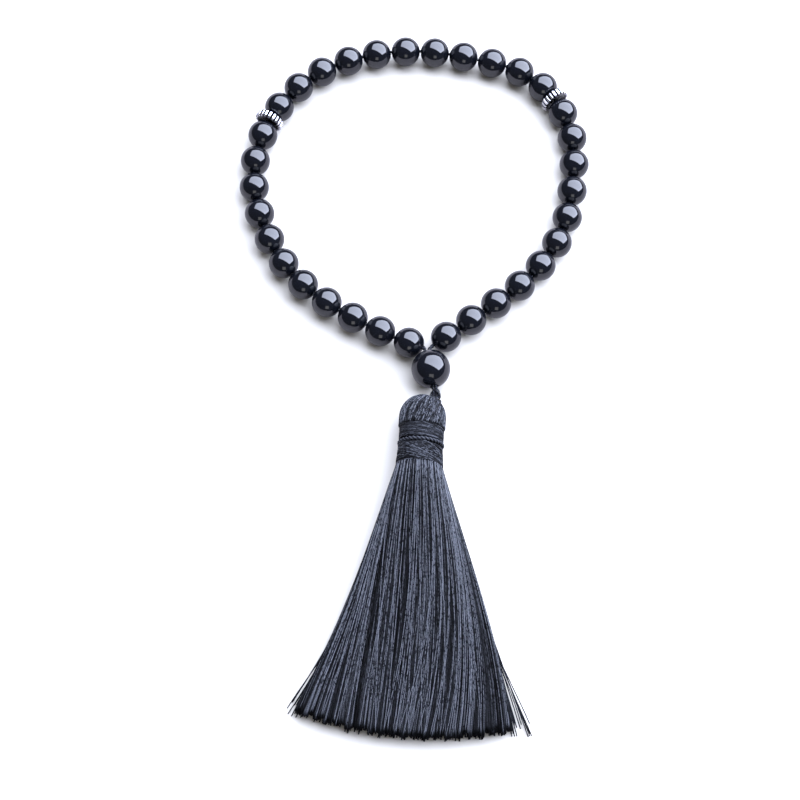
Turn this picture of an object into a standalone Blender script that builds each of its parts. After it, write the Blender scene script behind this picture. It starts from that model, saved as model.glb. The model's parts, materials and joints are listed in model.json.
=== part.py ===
"""Misbaha prayer beads: a loop of 33 stone beads with two ribbed dividers, a larger bead at the junction and
a silk tassel, lying flat. Blender 4.5, metres, +Z up. The origin is under the middle of the whole object, on
the surface that it lies on, and the tassel points along -Y."""

import bmesh
import bpy
from math import asin, cos, pi, radians, sin, tan
from mathutils import Matrix, Vector

MM = 0.001

# Beads
BEAD_DIAMETER = 7.9 * MM
BEAD_BORE = 1.3 * MM
BEAD_GAP = 0.2 * MM  # bare cord between two neighbours
BEADS_IN_SECTION = 11
SECTIONS = 3
GURU_DIAMETER = 10.0 * MM
GURU_BORE = 2.2 * MM
TURN_STEPS = 12
BEAD_ARC_STEPS = 6
GURU_ARC_STEPS = 8

# Ribbed dividers
SPACER_DIAMETER = 7.7 * MM
SPACER_RIM_WIDTH = 2.1 * MM
SPACER_HUB_WIDTH = 1.5 * MM
SPACER_HUB_DIAMETER = 4.4 * MM
SPACER_BORE = 1.5 * MM
SPACER_RIBS = 20
RIB_DEPTH = 0.45 * MM

# Cords and fits
CORD_DIAMETER = 0.9 * MM
GURU_CORD_DIAMETER = 1.7 * MM  # the loop's two ends side by side
TOUCH_GAP = 0.3 * MM  # between pieces that touch
PIVOT_GAP = 0.5 * MM  # between the doubled cord and the legs that fold over it
LEG_SPREAD = 0.6 * MM  # half the distance between the two legs at the junction

# The loop's route in mm, from the right of the junction over the top to its left
LOOP_ROUTE = (
    (4.7, 4.0), (17.4, 13.1), (30.0, 23.0), (39.0, 35.8), (42.5, 52.0), (42.2, 68.2),
    (32.8, 83.2), (17.5, 89.1), (1.5, 91.8), (-14.5, 90.0), (-28.6, 83.2), (-39.2, 70.2),
    (-43.2, 53.5), (-39.7, 37.4), (-31.8, 23.6), (-19.3, 13.6), (-5.0, 6.0), (2.2, 3.3),
)
PATH_STEPS = 24  # curve points for each pair of route points
FITTING_ROUNDS = 40  # of the route's size to the beads' length
RIGHT_LENGTHS = (3, 3, 3, 3, 3, 3)  # beads and dividers on each length of cord, from the junction
LEFT_LENGTHS = (3, 3, 3, 3, 3, 2)

# The junction and what hangs from it, in mm
GURU_TOP = (3.1318, 1.924)  # where the loop's two legs meet over it
GURU_TILT = radians(10)  # of its bore, from +Y towards -X
KNOT_LENGTH = 3.0 * MM
KNOT_DIAMETER = 2.3 * MM
KNOT_STEPS = 8

# Tassel, along its axis from the top of the head
TASSEL_TILT = radians(4)  # of its axis, from -Y towards -X
HEAD_FROM_KNOT = (-3.3455, 0.9648)  # of the head's top, from the knot's lower end
AXIS_HEIGHT = 6.0 * MM
DOME_DIAMETER = 11.6 * MM
DOME_LENGTH = 8.1 * MM
CORE_DIAMETER = 9.2 * MM
BINDING_DIAMETER = 11.2 * MM
BINDING_FOOT_DIAMETER = 11.9 * MM
BINDING_UPPER_LENGTH = 4.1 * MM
RING_LENGTH = 1.2 * MM
RING_DIAMETER = 11.9 * MM
BINDING_LOWER_LENGTH = 4.8 * MM
LOOP_CORD_DIAMETER = 0.8 * MM
LOOP_START_GAP = 1.7 * MM  # from its pivot, so that the loop clears the knot when the tassel is lifted
LOOP_STEPS = 5
HEAD_STEPS = 20
DOME_ARC_STEPS = 6

# Skirt of free threads
SKIRT_LENGTH = 66.0 * MM
SKIRT_FLARE = 0.33  # growth of its half width for each unit of length
SKIRT_NECK_DIAMETER = 11.2 * MM
SKIRT_END_THICKNESS = 4.0 * MM
SKIRT_END_BOW = 4.0 * MM  # how far the middle of the cut end reaches past its corners
SKIRT_SHOULDER = 1.8 * MM
SKIRT_CROWN_DIAMETER = 2.4 * MM  # of its top, narrow enough to sway under the head's flat end
SKIRT_FALL = 1.6  # power of the curve that its top falls along to the cut end
SKIRT_LIFTED_SHARE = 1 / 3  # of its length, which hangs clear of the surface
SKIRT_SQUARENESS = 0.45  # how far its section goes from round to square at the cut end
SKIRT_RINGS = 8
SKIRT_SIDES = 24


def clear_scene():
    for old in list(bpy.data.objects):
        bpy.data.objects.remove(old, do_unlink=True)


def new_collection(name):
    collection = bpy.data.collections.new(name)
    bpy.context.scene.collection.children.link(collection)
    return collection


def new_material(name, colour, roughness, metallic=0.0):
    material = bpy.data.materials.new(name)
    material.use_nodes = True
    shader = material.node_tree.nodes["Principled BSDF"]
    shader.inputs["Base Color"].default_value = (*colour, 1.0)
    shader.inputs["Roughness"].default_value = roughness
    shader.inputs["Metallic"].default_value = metallic
    return material


def add_object(name, data, matrix, material, collection):
    thing = bpy.data.objects.new(name, data)
    if material:
        data.materials.append(material)
    collection.objects.link(thing)
    thing.matrix_world = matrix
    return thing


def parent_to(child, parent):
    """Parents a piece and leaves it where it is."""
    child.parent = parent
    child.matrix_parent_inverse = parent.matrix_world.inverted()


def turned_mesh(name, outline, closed):
    """A mesh of the outline only, in the XZ plane. A Screw modifier on the object turns it round Z."""
    edges = [(i, i + 1) for i in range(len(outline) - 1)]
    if closed:
        edges.append((len(outline) - 1, 0))
    mesh = bpy.data.meshes.new(name)
    mesh.from_pydata([(r, 0.0, z) for r, z in outline], edges, [])
    return mesh


def turn(thing, steps):
    screw = thing.modifiers.new("turn", "SCREW")
    screw.steps = steps
    screw.render_steps = steps
    screw.use_merge_vertices = True
    screw.merge_threshold = 1e-6
    screw.use_smooth_shade = True


def add_turned(name, outline, steps, matrix, material, collection, closed=True):
    thing = add_object(name, turned_mesh(name, outline, closed), matrix, material, collection)
    turn(thing, steps)
    return thing


def tube(name, points, diameter, matrix, material, collection):
    """A round cord along the points, which are given in the object's own frame."""
    curve = bpy.data.curves.new(name, "CURVE")
    curve.dimensions = "3D"
    curve.bevel_depth = diameter / 2
    curve.bevel_resolution = 2
    curve.use_fill_caps = True
    spline = curve.splines.new("POLY")
    spline.points.add(len(points) - 1)
    for point, place in zip(spline.points, points):
        point.co = (*place, 1.0)
    return add_object(name, curve, matrix, material, collection)


def drilled_ball(diameter, bore, arc_steps):
    """The outline of a ball with a hole through it. Its flats, not its corners, lie on the true diameter."""
    radius = diameter / 2
    corner = 1 / cos(pi / TURN_STEPS)
    rim = pi / 2 - asin(bore / diameter)
    angles = [rim - 2 * rim * i / arc_steps for i in range(arc_steps + 1)]
    return [(radius * cos(a) * corner, radius * sin(a)) for a in angles]


def facing(direction, roll_steps):
    """A rotation that takes Z along a level direction, with a flat of a turned piece facing down."""
    along = direction.normalized()
    down = Vector((0.0, 0.0, -1.0))
    across = along.cross(down)
    roll = pi / roll_steps
    first = down * cos(roll) + across * sin(roll)
    second = along.cross(first)
    return Matrix((first, second, along)).transposed().to_4x4()


def smooth_path(points):
    """Points on a Catmull-Rom curve through the given ones."""
    ends = [2 * points[0] - points[1], *points, 2 * points[-1] - points[-2]]
    path = []
    for a, b, c, d in zip(ends, ends[1:], ends[2:], ends[3:]):
        for t in (step / PATH_STEPS for step in range(PATH_STEPS)):
            path.append(0.5 * (2 * b + (c - a) * t + (2 * a - 5 * b + 4 * c - d) * t**2
                               + (3 * b - a - 3 * c + d) * t**3))
    path.append(points[-1])
    return path


def walk(path, lengths):
    """Points along the path, each at a straight distance from the one before it."""
    stops = [path[0]]
    index = 1
    for length in lengths:
        here = stops[-1]
        while index < len(path) - 1 and (path[index] - here).length < length:
            index += 1
        start, run = path[index - 1], path[index] - path[index - 1]
        back = start - here
        half = back.dot(run)
        reach = -half + (half**2 - run.length_squared * (back.length_squared - length**2)) ** 0.5
        stops.append(start + run * reach / run.length_squared)
    return stops


def gap_points(lengths):
    """The middle of each gap between beads, on the route made just long enough for the beads."""
    height = BEAD_DIAMETER / 2
    junction = Vector((*LOOP_ROUTE[0], 0.0)).lerp(Vector((*LOOP_ROUTE[-1], 0.0)), 0.5) * MM
    size = 1.0
    for _ in range(FITTING_ROUNDS):
        points = [junction + (Vector((x, y, 0.0)) * MM - junction) * size for x, y in LOOP_ROUTE]
        path = smooth_path(points)
        stops = walk(path, lengths)
        left_over = (path[-1] - stops[-1]).dot((path[-1] - path[-2]).normalized())
        size *= 1 - left_over / sum(lengths)
    return [Vector((p.x, p.y, height)) for p in stops]


def strand_items():
    """The names of the beads and dividers in order, with the cord that each one takes."""
    items = []
    for section in range(SECTIONS):
        for place in range(BEADS_IN_SECTION):
            number = section * BEADS_IN_SECTION + place + 1
            items.append((f"bead_{number:02d}", BEAD_DIAMETER + BEAD_GAP))
        if section < SECTIONS - 1:
            items.append((f"spacer_{section + 1:02d}", SPACER_HUB_WIDTH + BEAD_GAP))
    return items


def ribbed_ring_mesh():
    """A short cylinder whose every other side is drawn in, which leaves ribs along its rim."""
    mesh = bpy.data.meshes.new("ribbed_ring")
    shape = bmesh.new()
    bmesh.ops.create_cone(shape, cap_ends=True, segments=2 * SPACER_RIBS, depth=SPACER_RIM_WIDTH,
                          radius1=SPACER_DIAMETER / 2, radius2=SPACER_DIAMETER / 2)
    rib_angle = pi / SPACER_RIBS
    for corner in shape.verts:
        angle = Vector((0.0, 1.0)).angle_signed(corner.co.xy, 0.0) / rib_angle
        if round(angle) % 2:
            corner.co.xy *= 1 - 2 * RIB_DEPTH / SPACER_DIAMETER
    shape.to_mesh(mesh)
    shape.free()
    return mesh


def add_spacer(name, matrix, materials, parts, cutters):
    """A divider: ribbed rim, a thinner hub on each side for the beads to seat in, and its bore."""
    spacer = add_object(name, ribbed_ring_mesh(), matrix, materials["silver"], parts)
    bore, hub = SPACER_BORE / 2, SPACER_HUB_DIAMETER / 2
    web, out = SPACER_HUB_WIDTH / 2, SPACER_RIM_WIDTH
    outline = [(0.0, out), (hub, out), (hub, web), (bore, web), (bore, -web), (hub, -web), (hub, -out), (0.0, -out)]
    cutter = add_turned(f"{name}_cutter", outline, TURN_STEPS, matrix, None, cutters, closed=False)
    cutter.hide_render = True
    cutter.display_type = "WIRE"
    cut = spacer.modifiers.new("hub_and_bore", "BOOLEAN")
    cut.object = cutter
    cut.solver = "EXACT"
    return spacer


def add_strand_pieces(items, stops, materials, parts, cutters):
    """Each bead and divider between its two gap points. Its origin is on its own bore."""
    ball = turned_mesh("bead", drilled_ball(BEAD_DIAMETER, BEAD_BORE, BEAD_ARC_STEPS), True)
    ball.materials.append(materials["stone"])
    pieces = []
    for (name, _), start, end in zip(items, stops, stops[1:]):
        matrix = Matrix.Translation(start.lerp(end, 0.5)) @ facing(end - start, TURN_STEPS)
        if name.startswith("bead"):
            piece = add_object(name, ball, matrix, None, parts)
            turn(piece, TURN_STEPS)
        else:
            piece = add_spacer(name, matrix, materials, parts, cutters)
        pieces.append(piece)
    return pieces


def inset(points, first_gap, last_gap):
    """The points with their two ends drawn in."""
    first = points[0] + (points[1] - points[0]).normalized() * first_gap
    last = points[-1] + (points[-2] - points[-1]).normalized() * last_gap
    return [first, *points[1:-1], last]


def mitre_gap(before, corner, after):
    """How far two cords stop short of the corner that they meet at."""
    angle = (corner - before).angle(after - corner)
    return TOUCH_GAP / 2 + CORD_DIAMETER / 2 * tan(angle / 2)


def add_arm(side, leg_start, stops, pieces, lengths, materials, parts):
    """One arm of the loop, from the junction: a short leg, then lengths of cord that pivot on each other."""
    start_gap = mitre_gap(leg_start, stops[0], stops[1])
    leg = inset([Vector(), stops[0] - leg_start], 0.0, start_gap)
    before = tube(f"strand_leg_{side}", leg, CORD_DIAMETER, Matrix.Translation(leg_start), materials["cord"], parts)
    children = []
    at = 0
    for number, count in enumerate(lengths, 1):
        pivot = stops[at]
        points = [p - pivot for p in inset(stops[at : at + count + 1], start_gap, TOUCH_GAP / 2)]
        start_gap = TOUCH_GAP / 2
        cord = tube(f"strand_cord_{side}_{number}", points, CORD_DIAMETER,
                    Matrix.Translation(pivot), materials["cord"], parts)
        children.append((cord, before))
        children += [(piece, cord) for piece in pieces[at : at + count]]
        before = cord
        at += count
    return children


def add_junction(materials, parts):
    """The guru bead, the doubled cord through it and the knot under it."""
    up = Vector((-sin(GURU_TILT), cos(GURU_TILT), 0.0))
    centre = Vector((GURU_TOP[0] * MM, GURU_TOP[1] * MM, GURU_DIAMETER / 2)) - up * GURU_DIAMETER / 2
    place = Matrix.Translation(centre) @ facing(up, TURN_STEPS)
    guru = add_turned("guru_bead", drilled_ball(GURU_DIAMETER, GURU_BORE, GURU_ARC_STEPS),
                      TURN_STEPS, place, materials["stone"], parts)
    top = centre + up * (GURU_DIAMETER / 2 + PIVOT_GAP)
    foot = centre - up * (GURU_DIAMETER / 2 + TOUCH_GAP)
    cord_ends = [centre + up * GURU_DIAMETER / 2 - foot, Vector()]
    cord = tube("guru_cord", cord_ends, GURU_CORD_DIAMETER, Matrix.Translation(foot), materials["cord"], parts)
    return guru, cord, top, foot


def add_knot(foot, materials, parts):
    """An egg-shaped knot that hangs under the guru bead, with its origin where it leaves the bead."""
    along = Vector((sin(GURU_TILT), -cos(GURU_TILT), 0.0))
    half = KNOT_LENGTH / 2
    outline = [(KNOT_DIAMETER / 2 * sin(a), -TOUCH_GAP - half + half * cos(a))
               for a in (pi * i / KNOT_STEPS for i in range(KNOT_STEPS + 1))]
    place = Matrix.Translation(foot) @ facing(-along, TURN_STEPS)
    knot = add_turned("tassel_knot", outline, TURN_STEPS, place, materials["cord"], parts, closed=False)
    return knot, foot + along * (KNOT_LENGTH + 2 * TOUCH_GAP)


def head_outline():
    """Dome and bound core, from the top of the head down its outside."""
    radius, core = DOME_DIAMETER / 2, CORE_DIAMETER / 2
    outline = [(radius * sin(a), radius * (cos(a) - 1))
               for a in (pi / 2 * i / DOME_ARC_STEPS for i in range(DOME_ARC_STEPS + 1))]
    neck = BINDING_UPPER_LENGTH + RING_LENGTH + BINDING_LOWER_LENGTH + 2 * TOUCH_GAP
    outline += [(BINDING_DIAMETER / 2, -DOME_LENGTH + TOUCH_GAP), (core, -DOME_LENGTH + TOUCH_GAP)]
    outline += [(core, -DOME_LENGTH - neck), (0.0, -DOME_LENGTH - neck)]
    return outline, DOME_LENGTH + neck


def band(top, length, top_diameter, foot_diameter):
    """The outline of one wound band, a loose fit round the core."""
    inner = CORE_DIAMETER / 2 + TOUCH_GAP
    return [(inner, -top), (top_diameter / 2, -top), (foot_diameter / 2, -top - length), (inner, -top - length)]


def ring_outline(top):
    """The outline of the twisted ring, rounded on its outside."""
    inner, outer = CORE_DIAMETER / 2 + TOUCH_GAP, RING_DIAMETER / 2
    bulge = outer - BINDING_DIAMETER / 2
    return [(inner, -top), (outer - bulge, -top), (outer, -top - RING_LENGTH / 3),
            (outer, -top - RING_LENGTH * 2 / 3), (outer - bulge, -top - RING_LENGTH), (inner, -top - RING_LENGTH)]


def tassel_place(knot_foot):
    """The frame of the tassel: its origin at the top of the head, Z back up its axis."""
    up = Vector((sin(TASSEL_TILT), cos(TASSEL_TILT), 0.0))
    top = Vector((knot_foot.x + HEAD_FROM_KNOT[0] * MM, knot_foot.y + HEAD_FROM_KNOT[1] * MM, AXIS_HEIGHT))
    return Matrix.Translation(top) @ facing(up, HEAD_STEPS)


def add_head(knot_foot, materials, parts):
    place = tassel_place(knot_foot)
    outline, neck_foot = head_outline()
    ring_top = DOME_LENGTH + BINDING_UPPER_LENGTH + TOUCH_GAP
    lower_top = ring_top + RING_LENGTH + TOUCH_GAP
    bands = (
        ("binding_upper", band(DOME_LENGTH, BINDING_UPPER_LENGTH, BINDING_DIAMETER, BINDING_DIAMETER)),
        ("binding_ring", ring_outline(ring_top)),
        ("binding_lower", band(lower_top, BINDING_LOWER_LENGTH, BINDING_DIAMETER, BINDING_FOOT_DIAMETER)),
    )
    pieces = [add_turned("tassel_head", outline, HEAD_STEPS, place, materials["silk"], parts, closed=False)]
    pieces += [add_turned(name, shape, HEAD_STEPS, place, materials["binding"], parts) for name, shape in bands]
    return pieces, place @ Vector((0.0, 0.0, -neck_foot))


def add_tassel_loop(pivot, materials, parts):
    """The hanging loop: it leaves the knot and lies over the dome, down to the first binding."""
    place = tassel_place(pivot)
    centre = place @ Vector((0.0, 0.0, -DOME_DIAMETER / 2))
    lie = (DOME_DIAMETER + LOOP_CORD_DIAMETER) / 2 + TOUCH_GAP
    start = (pivot - centre).normalized()
    foot = place @ Vector((0.0, 0.0, -DOME_LENGTH + LOOP_CORD_DIAMETER)) - centre
    foot.z = (lie**2 - foot.length_squared) ** 0.5
    turn_by = start.rotation_difference(foot.normalized())
    clear = LOOP_START_GAP / lie
    points = []
    for i in range(LOOP_STEPS + 1):
        direction = start.copy()
        angle = clear + (turn_by.angle - clear) * i / LOOP_STEPS
        direction.rotate(Matrix.Rotation(angle, 3, turn_by.axis))
        points.append(centre + direction * lie - pivot)
    return tube("tassel_loop", points, LOOP_CORD_DIAMETER, Matrix.Translation(pivot), materials["silk"], parts)


def skirt_sections():
    """(distance below the neck, half width, low height, high height) of each section of the skirt."""
    crown, neck = SKIRT_CROWN_DIAMETER / 2, SKIRT_NECK_DIAMETER / 2
    sections = [(0.0, crown, AXIS_HEIGHT - crown, AXIS_HEIGHT + crown)]
    for i in range(SKIRT_RINGS):
        share = i / (SKIRT_RINGS - 1)
        below = SKIRT_SHOULDER + (SKIRT_LENGTH - SKIRT_SHOULDER) * share
        fall = (1 - share) ** SKIRT_FALL
        high = SKIRT_END_THICKNESS + (AXIS_HEIGHT + neck - SKIRT_END_THICKNESS) * fall
        low = max(0.0, (AXIS_HEIGHT - neck) * (1 - share / SKIRT_LIFTED_SHARE))
        sections.append((below, neck + SKIRT_FLARE * (below - SKIRT_SHOULDER), low, high))
    return sections


def skirt_ring(below, half_width, low, high):
    """One section's corners: its sides squarer and its edges further back towards the cut end."""
    down = Vector((-sin(TASSEL_TILT), -cos(TASSEL_TILT), 0.0))
    side = Vector((cos(TASSEL_TILT), -sin(TASSEL_TILT), 0.0))
    share = below / SKIRT_LENGTH
    corners = []
    for angle in (2 * pi * i / SKIRT_SIDES for i in range(SKIRT_SIDES)):
        across, up = cos(angle), sin(angle)
        bulge = abs(up) ** (1 - SKIRT_SQUARENESS * share)
        height = (low + high) / 2 + (high - low) / 2 * (bulge if up >= 0 else -bulge)
        if low < TOUCH_GAP and up < 0:
            height = low  # flat where it lies on the surface
        back = below + TOUCH_GAP - SKIRT_END_BOW * share**2 * across**2
        place = down * back + side * half_width * across
        corners.append((place.x, place.y, height))
    return corners


def add_skirt(neck_foot, materials, parts):
    """The free threads as one solid: round at the neck, spread flat on the surface at the cut end."""
    shape = bmesh.new()
    rings = [[shape.verts.new(place) for place in skirt_ring(*section)] for section in skirt_sections()]
    for first, second in zip(rings, rings[1:]):
        for i in range(SKIRT_SIDES):
            j = (i + 1) % SKIRT_SIDES
            shape.faces.new((first[i], first[j], second[j], second[i]))
    shape.faces.new(list(reversed(rings[0])))
    shape.faces.new(rings[-1])
    bmesh.ops.recalc_face_normals(shape, faces=shape.faces)
    mesh = bpy.data.meshes.new("tassel_skirt")
    shape.to_mesh(mesh)
    shape.free()
    place = Matrix.Translation(Vector((*neck_foot.xy, 0.0)))
    return add_object("tassel_skirt", mesh, place, materials["silk"], parts)


def main():
    clear_scene()
    parts = new_collection("misbaha_prayer_beads")
    cutters = new_collection("cutters")
    materials = {
        "stone": new_material("black_onyx", (0.008, 0.009, 0.013), 0.06),
        "silver": new_material("silver_plate", (0.86, 0.86, 0.87), 0.16, 1.0),
        "cord": new_material("waxed_cord", (0.012, 0.012, 0.015), 0.35),
        "silk": new_material("silk_thread", (0.028, 0.031, 0.042), 0.45),
        "binding": new_material("silk_binding", (0.022, 0.024, 0.034), 0.38),
    }

    items = strand_items()
    stops = gap_points([length for _, length in items])
    pieces = add_strand_pieces(items, stops, materials, parts, cutters)
    guru, guru_cord, top, foot = add_junction(materials, parts)

    right_count = sum(RIGHT_LENGTHS)
    children = add_arm("right", top + Vector((LEG_SPREAD, 0.0, 0.0)), stops[: right_count + 1],
                       pieces[:right_count], RIGHT_LENGTHS, materials, parts)
    children += add_arm("left", top - Vector((LEG_SPREAD, 0.0, 0.0)), stops[: right_count - 1 : -1],
                        pieces[: right_count - 1 : -1], LEFT_LENGTHS, materials, parts)

    knot, loop_pivot = add_knot(foot, materials, parts)
    head_pieces, neck_foot = add_head(loop_pivot, materials, parts)
    loop = add_tassel_loop(loop_pivot, materials, parts)
    skirt = add_skirt(neck_foot, materials, parts)
    children += [(guru, guru_cord), (knot, guru_cord), (loop, knot), (skirt, head_pieces[0])]
    children += [(piece, loop) for piece in head_pieces]
    children += [(part, guru_cord) for part in parts.objects if part.name.startswith("strand_leg")]

    bpy.context.view_layer.update()
    for child, parent in children:
        parent_to(child, parent)
    for spacer in (piece for piece in pieces if piece.name.startswith("spacer")):
        parent_to(cutters.objects[f"{spacer.name}_cutter"], spacer)


main()
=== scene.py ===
import json
import bpy
import numpy as np
from mathutils import Matrix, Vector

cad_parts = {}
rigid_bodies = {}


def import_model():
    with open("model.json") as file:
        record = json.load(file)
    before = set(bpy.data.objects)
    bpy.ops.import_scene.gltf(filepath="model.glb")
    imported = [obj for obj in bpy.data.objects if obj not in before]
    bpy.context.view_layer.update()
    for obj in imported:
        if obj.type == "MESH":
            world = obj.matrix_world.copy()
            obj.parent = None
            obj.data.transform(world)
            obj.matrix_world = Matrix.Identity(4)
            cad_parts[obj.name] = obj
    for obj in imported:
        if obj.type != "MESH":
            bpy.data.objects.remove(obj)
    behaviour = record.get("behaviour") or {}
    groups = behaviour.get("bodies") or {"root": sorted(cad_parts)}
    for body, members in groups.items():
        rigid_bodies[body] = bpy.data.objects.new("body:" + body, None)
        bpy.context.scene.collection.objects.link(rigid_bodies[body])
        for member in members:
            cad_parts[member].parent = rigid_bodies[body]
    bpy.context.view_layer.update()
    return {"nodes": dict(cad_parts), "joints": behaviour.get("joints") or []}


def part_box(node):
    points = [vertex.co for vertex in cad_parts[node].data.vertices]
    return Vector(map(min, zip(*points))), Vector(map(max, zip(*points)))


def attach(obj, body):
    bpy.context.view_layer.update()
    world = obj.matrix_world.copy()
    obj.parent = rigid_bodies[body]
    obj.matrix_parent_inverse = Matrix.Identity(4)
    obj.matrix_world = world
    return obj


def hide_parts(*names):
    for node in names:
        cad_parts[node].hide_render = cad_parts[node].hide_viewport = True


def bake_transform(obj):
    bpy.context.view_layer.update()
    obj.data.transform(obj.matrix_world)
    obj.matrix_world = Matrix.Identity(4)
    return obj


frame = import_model()
jointOf = {joint["child"]: joint for joint in frame["joints"]}
mm = 0.001
print("frame loaded:", len(frame["nodes"]), "nodes")


# small helpers
def unit(v):
    # each vector over its own length
    v = np.asarray(v, float)
    return v / np.linalg.norm(v, axis=-1, keepdims=True)


def pivotOf(body):
    return np.array(jointOf[body]["pos_m"], float)


def middle(node):
    low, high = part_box(node)
    return (np.array(low) + np.array(high)) / 2


def linear(hexColour):
    # an sRGB hex value as the linear colour that a shader takes
    c = np.array([int(hexColour[i:i + 2], 16) for i in (1, 3, 5)]) / 255
    c = np.where(c <= 0.04045, c / 12.92, ((c + 0.055) / 1.055) ** 2.4)
    return (*c.tolist(), 1.0)


def addNode(tree, kind, settings=None, links=None, name=None):
    # one shader node: settings go to its properties or sockets, links join its sockets to others
    node = tree.nodes.new(kind)
    if name:
        node.label = name
    for key, value in (settings or {}).items():
        if isinstance(key, str) and hasattr(node, key):
            setattr(node, key, value)
        else:
            node.inputs[key].default_value = value
    for key, source in (links or {}).items():
        tree.links.new(source, node.inputs[key])
    return node


def newMaterial(name, settings):
    material = bpy.data.materials.new(name)
    material.use_nodes = True
    shader = material.node_tree.nodes["Principled BSDF"]
    for key, value in settings.items():
        shader.inputs[key].default_value = value
    return material, material.node_tree, shader


def gridFaces(rows, columns, wrapRows=False, wrapColumns=True):
    # quads of a rows x columns grid of points, joined round where it wraps
    i = np.arange(rows if wrapRows else rows - 1)[:, None]
    j = np.arange(columns if wrapColumns else columns - 1)[None, :]
    iNext, jNext = (i + 1) % rows, (j + 1) % columns
    corners = [i * columns + j, i * columns + jNext, iNext * columns + jNext, iNext * columns + j]
    return np.stack(np.broadcast_arrays(*corners), -1).reshape(-1, 4)


def newPiece(name, points, faces, material, body=None, replaced=(), attributes=None):
    # one mesh piece, smooth shaded, riding on a body
    mesh = bpy.data.meshes.new(name)
    mesh.from_pydata(np.asarray(points).reshape(-1, 3).tolist(), [], faces)
    mesh.polygons.foreach_set("use_smooth", np.ones(len(mesh.polygons), bool))
    for key, values in (attributes or {}).items():
        layer = mesh.attributes.new(key, "FLOAT", "POINT")
        layer.data.foreach_set("value", np.asarray(values, np.float32).ravel())
    mesh.materials.append(material)
    mesh.update()
    piece = bpy.data.objects.new(name, mesh)
    bpy.context.scene.collection.objects.link(piece)
    if body:
        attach(piece, body)
    if replaced:
        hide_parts(*replaced)
    return piece


def strandSurface(paths, side, radius, sides, closed=False, lobes=0, lobeDepth=0.0, turns=0.0):
    # round strands along paths (strands, steps, 3). side is a vector near each strand's own normal.
    # lobes press a twisted cord's grooves into the section, turning round it along the length.
    if closed:
        along = unit(np.roll(paths, -1, 1) - np.roll(paths, 1, 1))
    else:
        along = unit(np.gradient(paths, axis=1))
    side = np.broadcast_to(side, paths.shape)
    normal = unit(side - (side * along).sum(-1, keepdims=True) * along)
    across = np.cross(along, normal)
    angle = 2 * np.pi * np.arange(sides) / sides
    share = np.arange(paths.shape[1]) / (paths.shape[1] - (0 if closed else 1))
    twist = lobes * (angle[None, :] - 2 * np.pi * turns * share[:, None])
    size = np.broadcast_to(radius, paths.shape[:2])[..., None]
    size = size * (1 - lobeDepth * (0.5 - 0.5 * np.cos(twist)) ** 1.5)[None]
    ring = np.cos(angle)[:, None] * normal[:, :, None] + np.sin(angle)[:, None] * across[:, :, None]
    return paths[:, :, None] + size[..., None] * ring


def strandFaces(strands, steps, sides, closed=False):
    # quads along every strand, and a cap on each open end
    one = gridFaces(steps, sides, wrapRows=closed)
    first = np.arange(strands)[:, None, None] * steps * sides
    faces = (one[None] + first).reshape(-1, 4).tolist()
    if not closed:
        rim = np.arange(sides)[None] + first[:, 0]
        faces += rim[:, ::-1].tolist() + (rim + (steps - 1) * sides).tolist()
    return faces


def flipped(faces):
    return [face[::-1] for face in faces]


def roundEnds(path, radius, count=5):
    # a path with a quarter-circle run-out of its radius at both ends, for a cord with domed ends
    a = np.linspace(0, np.pi / 2, count + 1)[:-1]
    start = path[0] - unit(path[1] - path[0]) * radius * np.cos(a)[:, None]
    end = path[-1] + unit(path[-1] - path[-2]) * radius * np.cos(a[::-1])[:, None]
    size = np.concatenate([np.sin(a), np.ones(len(path)), np.sin(a[::-1])])
    return np.concatenate([start, path, end]), np.maximum(size, 0.02) * radius


def smoothRoute(points, steps):
    # a Catmull-Rom curve through the points
    points = np.asarray(points, float)
    ends = np.concatenate([[2 * points[0] - points[1]], points, [2 * points[-1] - points[-2]]])
    t = np.linspace(0, 1, steps, endpoint=False)[:, None]
    a, b, c, d = (ends[k:len(ends) - 3 + k, None] for k in range(4))
    run = 0.5 * (2 * b + (c - a) * t + (2 * a - 5 * b + 4 * c - d) * t**2 + (3 * b - a - 3 * c + d) * t**3)
    return np.concatenate([run.reshape(-1, 3), points[-1:]])


def standing(direction):
    # two directions across the given one, the first as near to upright as can be
    direction = unit(direction)
    up = unit(np.array([0.0, 0.0, 1.0]) - direction[2] * direction)
    return up, np.cross(direction, up)


# materials
def polishedOnyx():
    # black onyx, tumbled and polished: a deep near-black with a wet gloss and a trace of cloud under it
    material, tree, shader = newMaterial("polished_onyx", {
        "Roughness": 0.045, "IOR": 1.62})
    place = addNode(tree, "ShaderNodeTexCoord")
    cloud = addNode(tree, "ShaderNodeTexNoise", {"Scale": 1 / (3.0 * mm), "Detail": 4.0, "Roughness": 0.6},
                    {"Vector": place.outputs["Object"]})
    tint = addNode(tree, "ShaderNodeMix", {"data_type": "RGBA", 6: linear("#040508"), 7: linear("#0d0f16")},
                   {0: cloud.outputs[0]})
    tree.links.new(tint.outputs[2], shader.inputs["Base Color"])
    # faint polishing marks, drawn at 0.5 mm because real ones are too fine to show
    marks = addNode(tree, "ShaderNodeTexNoise", {"Scale": 1 / (0.5 * mm), "Detail": 2.0},
                    {"Vector": place.outputs["Object"]})
    gloss = addNode(tree, "ShaderNodeMapRange",
                    {"From Min": 0.3, "From Max": 0.7, "To Min": 0.03, "To Max": 0.075},
                    {"Value": marks.outputs[0]})
    tree.links.new(gloss.outputs[0], shader.inputs["Roughness"])
    bump = addNode(tree, "ShaderNodeBump", {"Strength": 0.02, "Distance": 0.05 * mm},
                   {"Height": marks.outputs[0]})
    tree.links.new(bump.outputs[0], shader.inputs["Normal"])
    return material


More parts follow.
